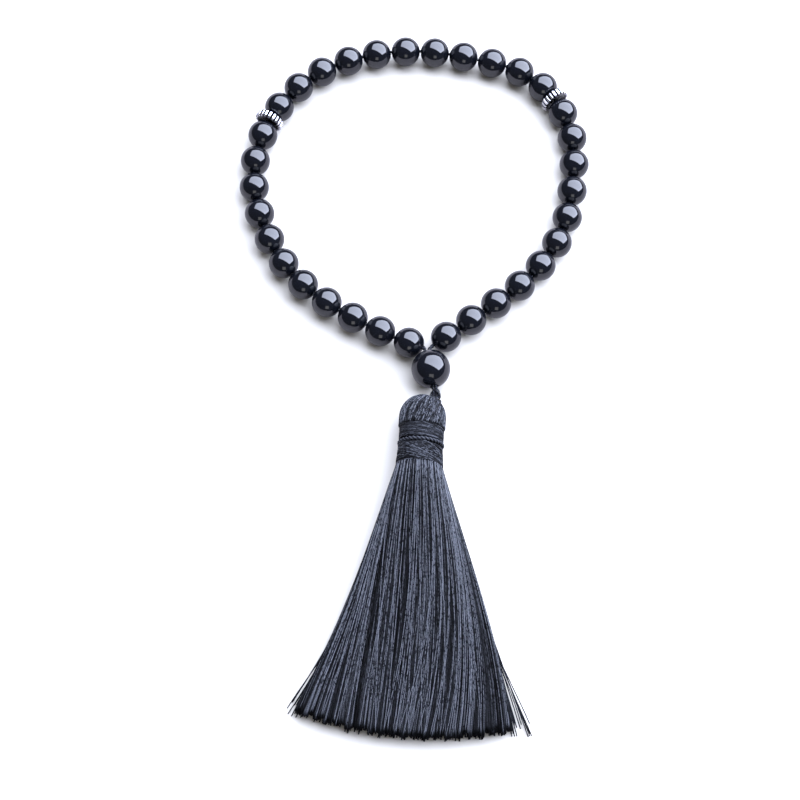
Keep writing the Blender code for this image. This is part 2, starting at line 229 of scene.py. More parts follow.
def silverPlate():
    # silver-plated alloy, cast and tumbled: bright on the ribs' crowns, darker and rougher deeper in the
    # grooves, with painted shade on the side faces beside the beads
    material, tree, shader = newMaterial("silver_plate", {"Metallic": 1.0, "Roughness": 0.16})
    depth = addNode(tree, "ShaderNodeAttribute", {"attribute_name": "groove"})
    place = addNode(tree, "ShaderNodeTexCoord")
    grain = addNode(tree, "ShaderNodeTexNoise", {"Scale": 1 / (0.4 * mm), "Detail": 3.0},
                    {"Vector": place.outputs["Object"]})
    spread = addNode(tree, "ShaderNodeMath", {"operation": "MULTIPLY_ADD", 1: 0.3},
                     {0: grain.outputs[0], 2: depth.outputs["Fac"]})
    ramp = addNode(tree, "ShaderNodeValToRGB", None, {"Fac": spread.outputs[0]})
    ramp.color_ramp.elements[0].position, ramp.color_ramp.elements[0].color = 0.25, linear("#e6e6ea")
    ramp.color_ramp.elements[1].position, ramp.color_ramp.elements[1].color = 0.5, linear("#101013")
    tree.links.new(ramp.outputs["Color"], shader.inputs["Base Color"])
    rough = addNode(tree, "ShaderNodeMapRange", {"From Min": 0.3, "From Max": 1.0, "To Min": 0.13,
                                                 "To Max": 0.45},
                    {"Value": spread.outputs[0]})
    tree.links.new(rough.outputs[0], shader.inputs["Roughness"])
    return material


def waxedCord():
    # nylon cord, twisted and waxed: black with a narrow slippery highlight on each ply, and pale flecks
    # painted into its colour as glints
    material, tree, shader = newMaterial("waxed_nylon_cord", {"Roughness": 0.35, "Specular IOR Level": 0.2})
    place = addNode(tree, "ShaderNodeTexCoord")
    fibre = addNode(tree, "ShaderNodeTexNoise", {"Scale": 1 / (0.3 * mm), "Detail": 3.0},
                    {"Vector": place.outputs["Object"]})
    # painted glints: pale grey flecks in the colour where light catches the plies
    paintedGlints = addNode(tree, "ShaderNodeMapRange", {"From Min": 0.56, "From Max": 0.7},
                    {"Value": fibre.outputs[0]})
    tint = addNode(tree, "ShaderNodeMix", {"data_type": "RGBA", 6: linear("#030406"), 7: linear("#6a6e7c")},
                   {0: paintedGlints.outputs[0]})
    tree.links.new(tint.outputs[2], shader.inputs["Base Color"])
    bump = addNode(tree, "ShaderNodeBump", {"Strength": 0.25, "Distance": 0.05 * mm},
                   {"Height": fibre.outputs[0]})
    tree.links.new(bump.outputs[0], shader.inputs["Normal"])
    return material


def silkThread(name, dark, light, roughness, gloss):
    # viscose silk, spun and dyed: each thread's colour runs from dark to pale with its painted light and
    # shade, speckled along it by a painted sparkle, with a long soft highlight
    material, tree, shader = newMaterial(name, {"Specular IOR Level": gloss})
    shade = addNode(tree, "ShaderNodeAttribute", {"attribute_name": "shade"})
    place = addNode(tree, "ShaderNodeTexCoord")
    fibre = addNode(tree, "ShaderNodeTexNoise", {"noise_dimensions": "4D", "Scale": 1 / (0.6 * mm),
                                                 "Detail": 2.0},
                    {"Vector": place.outputs["Object"], "W": shade.outputs["Fac"]})
    # painted sparkle: noise along each thread that speckles its painted light
    paintedSparkle = addNode(tree, "ShaderNodeMapRange", {"From Min": 0.38, "From Max": 0.62, "To Min": 0.1,
                                                "To Max": 1.9},
                   {"Value": fibre.outputs[0]})
    mixed = addNode(tree, "ShaderNodeMath", {"operation": "MULTIPLY", "use_clamp": True},
                    {0: paintedSparkle.outputs[0], 1: shade.outputs["Fac"]})
    tint = addNode(tree, "ShaderNodeMix", {"data_type": "RGBA", 6: linear(dark), 7: linear(light)},
                   {0: mixed.outputs[0]})
    tree.links.new(tint.outputs[2], shader.inputs["Base Color"])
    # a thread painted pale, as lit, also gets a smoother finish, and one painted dark, as shaded between
    # others, a rougher one
    dull = addNode(tree, "ShaderNodeMapRange", {"To Min": 0.85, "To Max": roughness},
                   {"Value": mixed.outputs[0]})
    tree.links.new(dull.outputs[0], shader.inputs["Roughness"])
    return material


onyx = polishedOnyx()
silver = silverPlate()
cordBlack = waxedCord()
silk = silkThread("spun_silk", "#010102", "#65686f", 0.4, 0.06)
# near-black silk for the bodies under and inside the threads, painted as the shade between them
silkPaintedShade = silkThread("spun_silk_painted_shade", "#020203", "#08090c", 0.7, 0.05)
boundSilk = silkThread("wound_silk", "#010102", "#4a4d54", 0.3, 0.12)
print("materials made")


# beads
bead = {"rings": 56, "around": 72, "rimRound": 0.16 * mm, "boreShare": 0.165, "guruBoreShare": 0.22}


def drilledBall(radius, bore, rimRound, rings, around):
    # a ball turned round its bore: the sphere's arc, a small rounded lip, then the straight wall of the hole.
    # Returns rows (radius from the axis, height) from the top lip down the outside and back up the bore.
    edge = np.arcsin((bore + rimRound) / radius)
    outer = np.linspace(np.pi / 2 - edge, edge - np.pi / 2, rings)
    arc = np.stack([radius * np.cos(outer), radius * np.sin(outer)], 1)
    lip = np.linspace(0, 1, 6)[1:, None]
    lowIn = np.array([bore, arc[-1, 1] + rimRound])
    bottom = (1 - lip) ** 2 * arc[-1] + 2 * lip * (1 - lip) * np.array([bore, arc[-1, 1]]) + lip**2 * lowIn
    top = (bottom * [1, -1])[::-1]
    return np.concatenate([arc, bottom, top])


def turnedGrid(rows, centre, axis, around):
    # rows of (radius, height) turned round an axis through the centre
    up, side = standing(axis)
    angle = 2 * np.pi * np.arange(around) / around
    ring = np.cos(angle)[:, None] * side + np.sin(angle)[:, None] * up
    return centre + rows[:, None, :1] * ring[None] + rows[:, None, 1:] * unit(axis)


def makeBead(node, boreShare):
    low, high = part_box(node)
    radius = (high[2] - low[2]) / 2
    rows = drilledBall(radius, boreShare * radius, bead["rimRound"], bead["rings"], bead["around"])
    grid = turnedGrid(rows, pivotOf(node), jointOf[node]["axis"], bead["around"])
    faces = gridFaces(len(rows), bead["around"], wrapRows=True).tolist()
    newPiece(node + "_polished", grid, flipped(faces), onyx, node, [node])


beadNodes = sorted(n for n in frame["nodes"] if n.startswith("bead_"))
for node in beadNodes:
    makeBead(node, bead["boreShare"])
makeBead("guru_bead", bead["guruBoreShare"])
print("beads made:", len(beadNodes) + 1)


# ribbed dividers
spacer = {"ribs": 20, "perRib": 14, "bore": 0.75 * mm, "hub": 2.2 * mm, "web": 0.75 * mm,
          "halfWidth": 1.05 * mm, "ribDepth": 0.5 * mm, "crown": 0.6 * mm}


def makeSpacer(node):
    # a ring whose rim radius falls into a groove between ribs. Each row is (radius, height, groove share).
    low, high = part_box(node)
    outer = (high[2] - low[2]) / 2
    s = spacer
    turn = np.linspace(0, np.pi / 2, 6)
    shoulder = np.stack([outer - s["crown"] * (1 - np.sin(turn)),
                         s["halfWidth"] - s["crown"] * (1 - np.cos(turn)),
                         0.35 + 0.65 * np.sin(turn)], 1)
    middleRows = np.array([[outer, s["halfWidth"] - s["crown"] - k * (s["halfWidth"] - s["crown"]) / 3, 1.0]
                           for k in (1, 2, 3)])
    face = np.array([[s["bore"], s["web"] - 0.1 * mm, 0], [s["bore"] + 0.1 * mm, s["web"], 0],
                     [s["hub"] - 0.1 * mm, s["web"], 0], [s["hub"], s["web"] + 0.1 * mm, 0],
                     [s["hub"] + 0.1 * mm, s["halfWidth"] - 0.05 * mm, 0],
                     [outer - s["crown"] - 0.15 * mm, s["halfWidth"] - 0.01 * mm, 0.15]])
    half = np.concatenate([face, shoulder, middleRows])
    rows = np.concatenate([half, (half * [1, -1, 1])[::-1][1:]])
    around = s["ribs"] * s["perRib"]
    angle = 2 * np.pi * np.arange(around) / around
    groove = np.clip(np.cos(s["ribs"] * angle) * 1.6 + 0.1, 0, 1)
    up, side = standing(jointOf[node]["axis"])
    ring = np.cos(angle)[:, None] * side + np.sin(angle)[:, None] * up
    radius = rows[:, None, 0] - s["ribDepth"] * rows[:, None, 2] * groove[None]
    grid = pivotOf(node) + radius[..., None] * ring + rows[:, None, 1:2] * unit(jointOf[node]["axis"])
    paintedFaceShade = np.where(rows[:, 2] < 0.3, 0.35, 0.0)[:, None]  # painted shade on the side faces beside the beads, which turn away from the light
    depth = rows[:, None, 2] * groove[None] + paintedFaceShade
    faces = gridFaces(len(rows), around, wrapRows=True).tolist()
    newPiece(node + "_ribbed", grid, faces, silver, node, [node], {"groove": depth})


for node in ("spacer_01", "spacer_02"):
    makeSpacer(node)
print("dividers made")


# the loop's cord
cord = {"radius": 0.43 * mm, "ply": 3, "plyDepth": 0.22, "pitch": 2.4 * mm, "sides": 18, "step": 0.35 * mm}


def ropeAlong(path, radius, pitch, ply=3, depth=0.22, sides=18, step=0.35 * mm):
    # a plied cord with domed ends along a route, resampled evenly; its grooves turn once every pitch
    length = np.concatenate([[0], np.cumsum(np.linalg.norm(np.diff(path, axis=0), axis=1))])
    count = max(4, int(length[-1] / step))
    even = np.linspace(0, length[-1], count)
    path = np.stack([np.interp(even, length, path[:, k]) for k in range(3)], 1)
    path, size = roundEnds(path, radius)
    grid = strandSurface(path[None], np.array([0.0, 0.0, 1.0]), size[None], sides, False, ply, depth,
                         length[-1] / pitch)
    return grid, strandFaces(1, len(path), sides)


def carriedBy(body):
    # the beads that turn on this length of cord, in order from its pivot
    found = [j["child"] for j in frame["joints"] if j["parent"] == body and j.get("continuous")]
    return sorted(found, key=lambda n: np.linalg.norm(pivotOf(n) - pivotOf(body)))


def makeCordLength(side, number):
    body, node = f"{side}_cord_{number}", f"strand_cord_{side}_{number}"
    corners = [pivotOf(body)]
    for name in carriedBy(body):
        corners.append(2 * pivotOf(name) - corners[-1])  # out of a bead as far as it went in
    corners = np.array(corners)
    between = np.linspace(0, 1, 9)[:, None]
    runs = [a + (b - a) * between[:-1] for a, b in zip(corners, corners[1:])]
    route = np.concatenate(runs + [corners[-1:]])
    points, faces = ropeAlong(route, cord["radius"], cord["pitch"], cord["ply"], cord["plyDepth"],
                              cord["sides"])
    newPiece(f"{node}_twisted", points, faces, cordBlack, body, [node])


def makeLeg(side):
    body, node = f"{side}_leg", f"strand_leg_{side}"
    start, end = pivotOf(body), pivotOf(f"{side}_cord_1")
    tuck = start + (middle("guru_bead") - start) * 0.12
    route = smoothRoute([tuck, start, start + (end - start) * 0.5, end], 8)
    points, faces = ropeAlong(route, cord["radius"] * 1.2, cord["pitch"] * 0.6, 2, 0.4, 18, 0.2 * mm)
    newPiece(f"{node}_twisted", points, faces, cordBlack, body, [node])


for side in ("right", "left"):
    makeLeg(side)
    for number in range(1, 7):
        makeCordLength(side, number)


guruCord = {"radius": 0.42 * mm, "above": 0.15 * mm, "below": 0.3 * mm, "steps": 30, "pitchShare": 0.8}


def makeGuruCord():
    # the loop's two ends side by side through the guru bead, a little past it at both ends
    g = guruCord
    axis = unit(jointOf["guru_bead"]["axis"])
    low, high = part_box("guru_bead")
    half = (high[2] - low[2]) / 2
    across = unit(np.cross(axis, [0.0, 0.0, 1.0]))
    grids, faces = [], []
    for sign in (-1, 1):
        reach = np.linspace(-half - g["below"], half + g["above"], g["steps"])[:, None]
        route = pivotOf("guru_bead") + axis * reach + sign * across * g["radius"]
        grid, more = ropeAlong(route, g["radius"], cord["pitch"] * g["pitchShare"])
        first = sum(made.size // 3 for made in grids)
        faces += [[v + first for v in face] for face in more]
        grids.append(grid)
    points = np.concatenate([made.reshape(-1, 3) for made in grids])
    newPiece("guru_cord_twisted", points, faces, cordBlack, "junction", ["guru_cord"])


makeGuruCord()
print("cords made")


# knot under the guru bead
knot = {"radius": 0.44 * mm, "core": 0.8 * mm, "swing": 0.3 * mm, "taper": 0.35 * mm, "length": 1.15 * mm,
        "steps": 150, "sides": 16, "plies": 3, "plyDepth": 0.38, "plyTurns": 14}


def makeKnot():
    # a cord tied round itself: a torus knot of two turns by three, drawn out along its axis
    t = 2 * np.pi * np.arange(knot["steps"]) / knot["steps"]
    along = unit(pivotOf("tassel") - pivotOf("knot"))
    up, side = standing(along)
    centre = middle("tassel_knot")
    out = np.cos(2 * t)[:, None] * side + np.sin(2 * t)[:, None] * up
    reach = knot["core"] + knot["swing"] * np.cos(3 * t) - knot["taper"] * np.sin(3 * t) ** 2
    path = centre + reach[:, None] * out + knot["length"] * np.sin(3 * t)[:, None] * along
    grid = strandSurface(path[None], out[None], knot["radius"], knot["sides"], True, knot["plies"],
                         knot["plyDepth"], knot["plyTurns"])
    faces = strandFaces(1, knot["steps"], knot["sides"], True)
    newPiece("tassel_knot_tied", grid, faces, cordBlack, "knot", ["tassel_knot"])


makeKnot()


# the tassel's frame
tilt = np.radians(4)  # of the tassel's axis, from -Y towards -X
down = np.array([-np.sin(tilt), -np.cos(tilt), 0.0])
across = np.array([np.cos(tilt), -np.sin(tilt), 0.0])
upward = np.array([0.0, 0.0, 1.0])
neckFoot = np.array([*pivotOf("skirt")[:2], middle("binding_upper")[2]])


def spanAlong(node, direction):
    # how far a node reaches each way along a direction, from the neck's foot
    mesh = frame["nodes"][node].data
    points = np.empty(len(mesh.vertices) * 3)
    mesh.vertices.foreach_get("co", points)
    reach = (points.reshape(-1, 3) - neckFoot) @ direction
    return reach.min(), reach.max()


def onTassel(out, height, below):
    # points from a sideways, an upward and a downward distance off the neck's foot
    out, height, below = np.broadcast_arrays(out, height, below)
    return neckFoot + out[..., None] * across + height[..., None] * upward + below[..., None] * down


headTop = spanAlong("tassel_head", down)[0]
upperTop, upperFoot = spanAlong("binding_upper", down)
ringTop, ringFoot = spanAlong("binding_ring", down)
lowerTop, lowerFoot = spanAlong("binding_lower", down)
skirtFoot = spanAlong("tassel_skirt", down)[1]

tassel = {"seed": 7, "thread": 0.12 * mm, "domeRadius": 5.8 * mm, "neckRadius": 5.6 * mm,
          "footRadius": 5.92 * mm, "coreRadius": 4.8 * mm, "tuck": 0.3 * mm, "paintedShiningShare": 0.3,
          "underShade": 0.3, "domeThreads": 560, "domeSteps": 18, "poleLean": 0.55, "wander": 0.02}
random = np.random.default_rng(tassel["seed"])


def paintedThreadLight(count, paintedShiningShare):
    # painted light and shade per thread: most are painted dark, as shaded between the others, and a share are
    # painted pale, as lit and glossy
    paintedShining = random.uniform(0, 1, count) < paintedShiningShare
    return np.where(paintedShining, random.uniform(0.5, 1.5, count), random.uniform(0.0, 0.25, count))


def closedTurned(name, rows, material, body, replaced, shade=0.4, around=64):
    # (radius, distance below the neck's foot) turned round the tassel's axis, with a pole at both ends
    angle = 2 * np.pi * np.arange(around) / around
    radius, below = np.array(rows).T
    grid = onTassel(radius[:, None] * np.cos(angle), radius[:, None] * np.sin(angle),
                    below[:, None] + 0 * angle)
    faces = gridFaces(len(rows), around).tolist()
    faces += [list(range(around))[::-1], [(len(rows) - 1) * around + k for k in range(around)]]
    shades = np.full(len(rows) * around, shade)
    newPiece(name, grid, faces, material, body, replaced, {"shade": shades})


def makeDome():
    # threads fanned over the dome from a pole that leans towards the knot, down to the first binding
    t = tassel
    centreBelow = headTop + t["domeRadius"]
    count, steps = t["domeThreads"], t["domeSteps"]
    angle = 2 * np.pi * (np.arange(count) + random.uniform(-0.4, 0.4, count)) / count
    toKnot = pivotOf("tassel") - (neckFoot + down * centreBelow)
    lean = np.array([toKnot @ across, toKnot @ upward, toKnot @ down])
    pole = unit(unit(lean) * t["poleLean"] + np.array([0.0, 0.25, -1.0]) * (1 - t["poleLean"]))
    rim = np.stack([t["neckRadius"] * np.cos(angle), t["neckRadius"] * np.sin(angle),
                    np.full(count, upperTop - centreBelow + 0.4 * mm)], 1)
    gap = np.arccos(np.clip(unit(rim) @ pole, -1, 1))[:, None]
    share = np.linspace(0.02, 1, steps)[None] ** 0.9
    blend = (np.sin((1 - share) * gap)[..., None] * pole
             + np.sin(share * gap)[..., None] * unit(rim)[:, None])
    way = blend / np.sin(gap)[..., None]
    wander = np.cumsum(random.normal(0, t["wander"], (count, steps)), 1) * share * (1 - share) * 4
    way = unit(way + wander[..., None] * np.cross(way, pole))
    tall = np.clip(way[..., 2], 0, None)
    layer = random.uniform(-0.22, 0.02, (count, 1)) * mm
    reach = (t["domeRadius"] + layer) / np.sqrt(1 - tall**2)
    spot = way * reach[..., None]
    paths = onTassel(spot[..., 0], spot[..., 1], spot[..., 2] + centreBelow)
    side = way[..., :1] * across + way[..., 1:2] * upward + way[..., 2:] * down
    grid = strandSurface(paths, side, t["thread"], 4)
    # painted light and shade per thread, a little darker over the dome
    shades = np.repeat(paintedThreadLight(count, t["paintedShiningShare"]) * 0.75, steps * 4)
    newPiece("tassel_head_threads", grid, flipped(strandFaces(count, steps, 4)), silk, "tassel",
             ["tassel_head"],
             {"shade": shades})
    # a near-black body under the dome's threads, painted as the shade between them
    arc = np.linspace(0.03, np.pi / 2, 14)
    inner = 0.96 * t["domeRadius"]
    rows = [(inner * np.sin(a), centreBelow - inner * np.cos(a)) for a in arc]
    rows += [(0.94 * t["neckRadius"], upperTop), (t["coreRadius"], upperTop + 0.2 * mm),
             (t["coreRadius"], lowerFoot + 0.1 * mm)]
    closedTurned("tassel_head_core", rows, silkPaintedShade, "tassel", [], t["underShade"])


def woundBand(name, node, top, foot, topRadius, footRadius, level, crossed, lean):
    # turns of thread round the neck: a close level layer, then fewer that slant across it
    around = 84
    angle = 2 * np.pi * np.arange(around)[None] / around
    thread = tassel["thread"]
    core = tassel["coreRadius"]
    length = foot - top

    def turns(count, slope, lift, spread):
        at = top + thread + (length - 2 * thread) * (np.arange(count) + 0.5) / count
        at = at + random.normal(0, spread, count)
        facing = random.normal(0, 0.5, (count, 1))
        below = at[:, None] + slope[:, None] * footRadius * np.cos(angle - facing)
        below = np.clip(below, top + thread, foot - thread)  # it runs along the edge once it gets there
        share = (below - top) / length
        radius = topRadius + (footRadius - topRadius) * share + lift + random.normal(0, 0.02 * mm, (count, 1))
        return onTassel(radius * np.cos(angle), radius * np.sin(angle), below)

    slopes = random.normal(lean, 0.12, crossed)
    paths = np.concatenate([turns(level, random.normal(0, 0.03, level), -thread, 0.03 * mm),
                            turns(crossed, slopes, -0.55 * thread, 0.1 * mm)])
    side = paths - neckFoot
    side = side - (side @ down)[..., None] * down
    grid = strandSurface(paths, side, thread, 5, True)
    # painted light and shade per turn of thread
    shades = np.repeat(paintedThreadLight(level + crossed, tassel["paintedShiningShare"]), around * 5)
    newPiece(name, grid, flipped(strandFaces(level + crossed, around, 5, True)), boundSilk, "tassel", [node],
             {"shade": shades})
    # a near-black body under the turns, painted as the shade between them
    rows = [(core, top + 0.05 * mm), (topRadius - 0.25 * mm, top + 0.08 * mm),
            (footRadius - 0.25 * mm, foot - 0.08 * mm), (core, foot - 0.05 * mm)]
    closedTurned(name + "_under", rows, silkPaintedShade, "tassel", [], tassel["underShade"])


twistedRing = {"steps": 260, "sides": 16, "thickness": 0.45 * mm, "sunk": 0.1 * mm, "plies": 2,
               "plyDepth": 0.45,
               "turns": 17}


def makeRing():
    # a twisted cord laid round between the two bands, with a painted highlight along each ply's crest
    r = twistedRing
    count, sides = r["steps"], r["sides"]
    angle = 2 * np.pi * np.arange(count) / count
    centre = (ringTop + ringFoot) / 2
    radius = tassel["neckRadius"] - r["sunk"]
    path = onTassel(radius * np.cos(angle), radius * np.sin(angle), centre + 0 * angle)
    side = unit(path - (neckFoot + down * centre))
    grid = strandSurface(path[None], side[None], r["thickness"], sides, True, r["plies"], r["plyDepth"],
                         r["turns"])
    section = 2 * np.pi * np.arange(sides)[None] / sides
    # painted highlight, palest on each ply's crest
    crest = 0.5 + 0.5 * np.cos(r["plies"] * (section - r["turns"] * angle[:, None]))
    shades = 0.05 + 1.1 * crest**2
    newPiece("binding_ring_twisted", grid, flipped(strandFaces(1, count, sides, True)), boundSilk, "tassel",
             ["binding_ring"], {"shade": shades})


hangingLoop = {"radius": 0.27 * mm, "pitch": 1.3 * mm, "plies": 2, "plyDepth": 0.3, "sides": 12,
               "step": 0.2 * mm,
               "feet": (-0.9 * mm, 0.5 * mm), "under": 0.6 * mm, "clear": 0.25 * mm, "sag": 0.05, "steps": 40}


def makeHangingLoop():
    # two threads from the knot over the dome, tucked under the first binding
    h = hangingLoop
    centre = neckFoot + down * (headTop + tassel["domeRadius"])
    start = unit(pivotOf("tassel") - centre)
    for number, sideways in enumerate(h["feet"], 1):
        foot = onTassel(np.array(sideways), np.array(tassel["neckRadius"] + 0.1 * mm),
                        np.array(upperTop + h["under"]))
        end = unit(foot - centre)
        gap = np.arccos(start @ end)
        share = np.linspace(0, 1, h["steps"])[:, None]
        way = (np.sin((1 - share) * gap) * start + np.sin(share * gap) * end) / np.sin(gap)
        way = unit(way + h["sag"] * (number * 2 - 3) * np.sin(np.pi * share) * np.cross(start, end))
        reach = np.linalg.norm(pivotOf("tassel") - centre) * (1 - share) ** 3
        reach = reach + (tassel["domeRadius"] + h["clear"]) * (1 - (1 - share) ** 3)
        route = centre + way * reach
        grid, faces = ropeAlong(route, h["radius"], h["pitch"], h["plies"], h["plyDepth"], h["sides"],
                                h["step"])
        newPiece(f"tassel_loop_thread_{number}", grid, faces, cordBlack, "tassel",
                 ["tassel_loop"] if number == 1 else [])


makeDome()
woundBand("binding_upper_wound", "binding_upper", upperTop, upperFoot + tassel["tuck"], tassel["neckRadius"],
          tassel["neckRadius"], level=20, crossed=40, lean=0.14)
woundBand("binding_lower_wound", "binding_lower", lowerTop - tassel["tuck"], lowerFoot, tassel["neckRadius"],
          tassel["footRadius"], level=22, crossed=40, lean=0.4)
makeRing()
makeHangingLoop()
print("tassel head made")


# skirt of free threads
skirt = {"threads": 2200, "paintedShining": 90, "steps": 15, "radius": 0.14 * mm, "neck": 5.75 * mm, "flare": 0.315,
         "narrowing": 1.0 * mm, "lean": 1.4 * mm, "endThickness": 4.0 * mm, "bow": 3.45 * mm,
         "bowMiddle": 0.13,
         "raggedness": 0.7 * mm, "wave": 0.35 * mm, "onTop": 0.55, "strays": 40, "straysRight": 0.62,
         "strayRadius": 0.13 * mm}


def skirtPoints(share, sideways, depth, length):
    # a place in the skirt from shares of its length, half width (-1 to 1) and thickness (-1 to 1)
    s = skirt
    below = share * length
    halfWidth = s["neck"] + s["flare"] * below - s["narrowing"] * share**8
    fall = np.clip(1 - share, 0, 1) ** 1.6
    high = s["endThickness"] + (neckFoot[2] + s["neck"] - s["endThickness"]) * fall
    low = np.clip((neckFoot[2] - s["neck"]) * (1 - 3 * share), 0, None)
    square = 1 - 0.45 * share
    half = (high - low) / 2 * np.clip(1 - sideways**2, 0, 1) ** (square / 2)
    height = (high + low) / 2 + half * depth - neckFoot[2]
    back = below - s["bow"] * share**2 * sideways * (sideways - s["bowMiddle"])
    return onTassel(halfWidth * sideways + s["lean"] * (np.sin(np.pi * share**1.2) + 0.25 * share), height,
                    back)


def makeSkirt():
    # threads that start packed in the neck and spread evenly across the fan, each a little wavy and uneven in
    # length. A share of them makes the top surface, and the rest fill the inside.
    s = skirt
    count, steps = s["threads"], s["steps"]
    out = np.sqrt(random.uniform(0, 1, count))
    surface = np.arange(count) < count * s["onTop"]
    out = np.where(surface, 1.0, out)
    turn = np.where(surface, random.uniform(-0.15, np.pi + 0.15, count), random.uniform(0, 2 * np.pi, count))
    start = out * np.cos(turn)
    spread = 2 * (0.5 + (start * np.sqrt(1 - start**2) + np.arcsin(start)) / np.pi) - 1
    even = np.where(surface, random.uniform(-1, 1, count), spread)
    end = np.clip(0.35 * spread + 0.65 * even + random.normal(0, 0.03, count), -0.995, 0.995)
    order = np.argsort(np.argsort(end[surface]))
    start[surface] = np.sort(start[surface])[order]
    paintedShining = surface & (random.permutation(count) < s["paintedShining"] / s["onTop"])
    end = np.where(paintedShining, np.clip(end + random.normal(0, 0.16, count), -0.99, 0.99), end)
    depth = np.clip(out * np.sin(turn) / np.sqrt(np.clip(1 - start**2, 0.02, 1)), -0.9, 1)
    depth = np.where(surface, np.where(paintedShining, random.uniform(0.98, 1.06, count),
                                       random.uniform(0.75, 1.0, count)), depth)
    share = np.append(np.linspace(0, 0.98, steps - 1), 1.0)[None]
    sideways = start[:, None] + (end - start)[:, None] * share**0.8
    clump = 0.5 * np.sin(end * 61.0 + 1.3) + 0.35 * np.sin(end * 143.0) + 0.25 * np.sin(end * 27.0 + 2.0)
    length = skirtFoot + 0.2 * mm + s["raggedness"] * (clump - 0.9 + random.normal(0, 0.5, count))
    length = np.minimum(length, skirtFoot + 1.2 * mm)
    wave = s["wave"] / (s["neck"] + s["flare"] * skirtFoot) * share * np.sin(
        share * random.uniform(2, 7, (count, 1)) + random.uniform(0, 6.3, (count, 1)))
    paths = skirtPoints(share, sideways + wave, depth[:, None], length[:, None])
    floorRoom = s["radius"] * 1.05
    paths[..., 2] = np.maximum(paths[..., 2], floorRoom)
    size = s["radius"] * np.where(paintedShining, 0.65, random.uniform(0.75, 1.0, count))[:, None]
    size = size * (1 + 0.5 * share**40)  # each cut end frays a little
    grid = strandSurface(paths, upward, size, 3)
    streak = 0.1 * np.sin(end * 19.0) + 0.1 * np.sin(end * 47.0 + 1.0)
    # painted light and shade per thread: the few painted bright ones pale, the rest dark with faint streaks
    shades = np.where(paintedShining, random.uniform(0.6, 1.6, count), paintedThreadLight(count, 0.2) * 0.3 + 0.2 * streak)
    shades = shades[:, None] * (1 - share**60)  # painted shadow, darkest at the cut ends
    piece = newPiece("tassel_skirt_threads", grid, flipped(strandFaces(count, steps, 3)), silk, None,
                     ["tassel_skirt"], {"shade": np.repeat(shades, 3, axis=1)})
    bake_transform(piece)


def makeSkirtCore():
    # a body just inside the threads, so that no light shows between them, painted near-black as the shade
    # inside the skirt
    rows, around = 22, 48
    share = np.linspace(0.0, 0.955, rows)[:, None]
    angle = 2 * np.pi * np.arange(around)[None] / around
    sideways, depth = 0.93 * np.cos(angle), 0.72 * np.sign(np.sin(angle)) * np.abs(np.sin(angle)) ** 0.6
    grid = skirtPoints(share, sideways + 0 * share, depth * np.ones_like(share), skirtFoot)
    grid[..., 2] = np.maximum(grid[..., 2], 0.25 * mm)
    faces = gridFaces(rows, around).tolist()
    faces += [list(range(around))[::-1], [(rows - 1) * around + k for k in range(around)]]
    piece = newPiece("tassel_skirt_core", grid, flipped(faces), silkPaintedShade, None, [],
                     {"shade": np.full(rows * around, 0.3)})
    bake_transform(piece)


def makeStrays():
    # the few threads that part from the sides of the skirt, more of them to its right, and lie by themselves
    s = skirt
    count, steps = s["strays"], 24
    share = np.linspace(0, 1, steps)[None]
    which = np.arange(count)
    hand = np.where(which < s["straysRight"] * count, 1.0, -1.0)
    reach = np.where(hand > 0, random.uniform(0.95, 1.2, count), random.uniform(0.95, 1.1, count))
    parting = random.uniform(0.3, 0.6, (count, 1))
    away = np.clip((share - parting) / (1 - parting), 0, 1) ** 1.4
    sideways = hand[:, None] * (0.93 + (reach[:, None] - 0.93) * away)
    sideways = sideways + 0.012 * share * np.sin(share * random.uniform(6, 14, (count, 1)) + which[:, None])
    length = skirtFoot + random.uniform(-3.0, 0.8, count) * mm
    wide = np.clip(sideways, -0.98, 0.98)
    paths = skirtPoints(share, wide, np.full((count, 1), 0.6), length[:, None])
    paths = paths + ((sideways - wide) * (s["neck"] + s["flare"] * length[:, None] * share))[...,
                                                                                             None] * across
    paths[..., 2] = np.maximum(paths[..., 2] * (1 - 0.7 * away), 0.12 * mm)
    grid = strandSurface(paths, upward, s["strayRadius"], 4)
    shades = np.repeat(random.uniform(0.0, 0.15, count), steps * 4)
    piece = newPiece("tassel_skirt_strays", grid, flipped(strandFaces(count, steps, 4)), silk, None, [],
                     {"shade": shades})
    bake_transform(piece)


makeSkirt()
makeSkirtCore()
makeStrays()
print("skirt made")


# floor, light and camera
def makeBoard(name, colour, top):
    # smooth card, cut square, lying under the object
    material, tree, shader = newMaterial(name, {"Base Color": linear(colour), "Roughness": 0.9,
                                                "Specular IOR Level": 0.1})
    half = 1.5
    board = newPiece(name, [[-half, -half, top], [half, -half, top], [half, half, top], [-half, half, top]],
                     [[0, 1, 2, 3]], material)
    return board


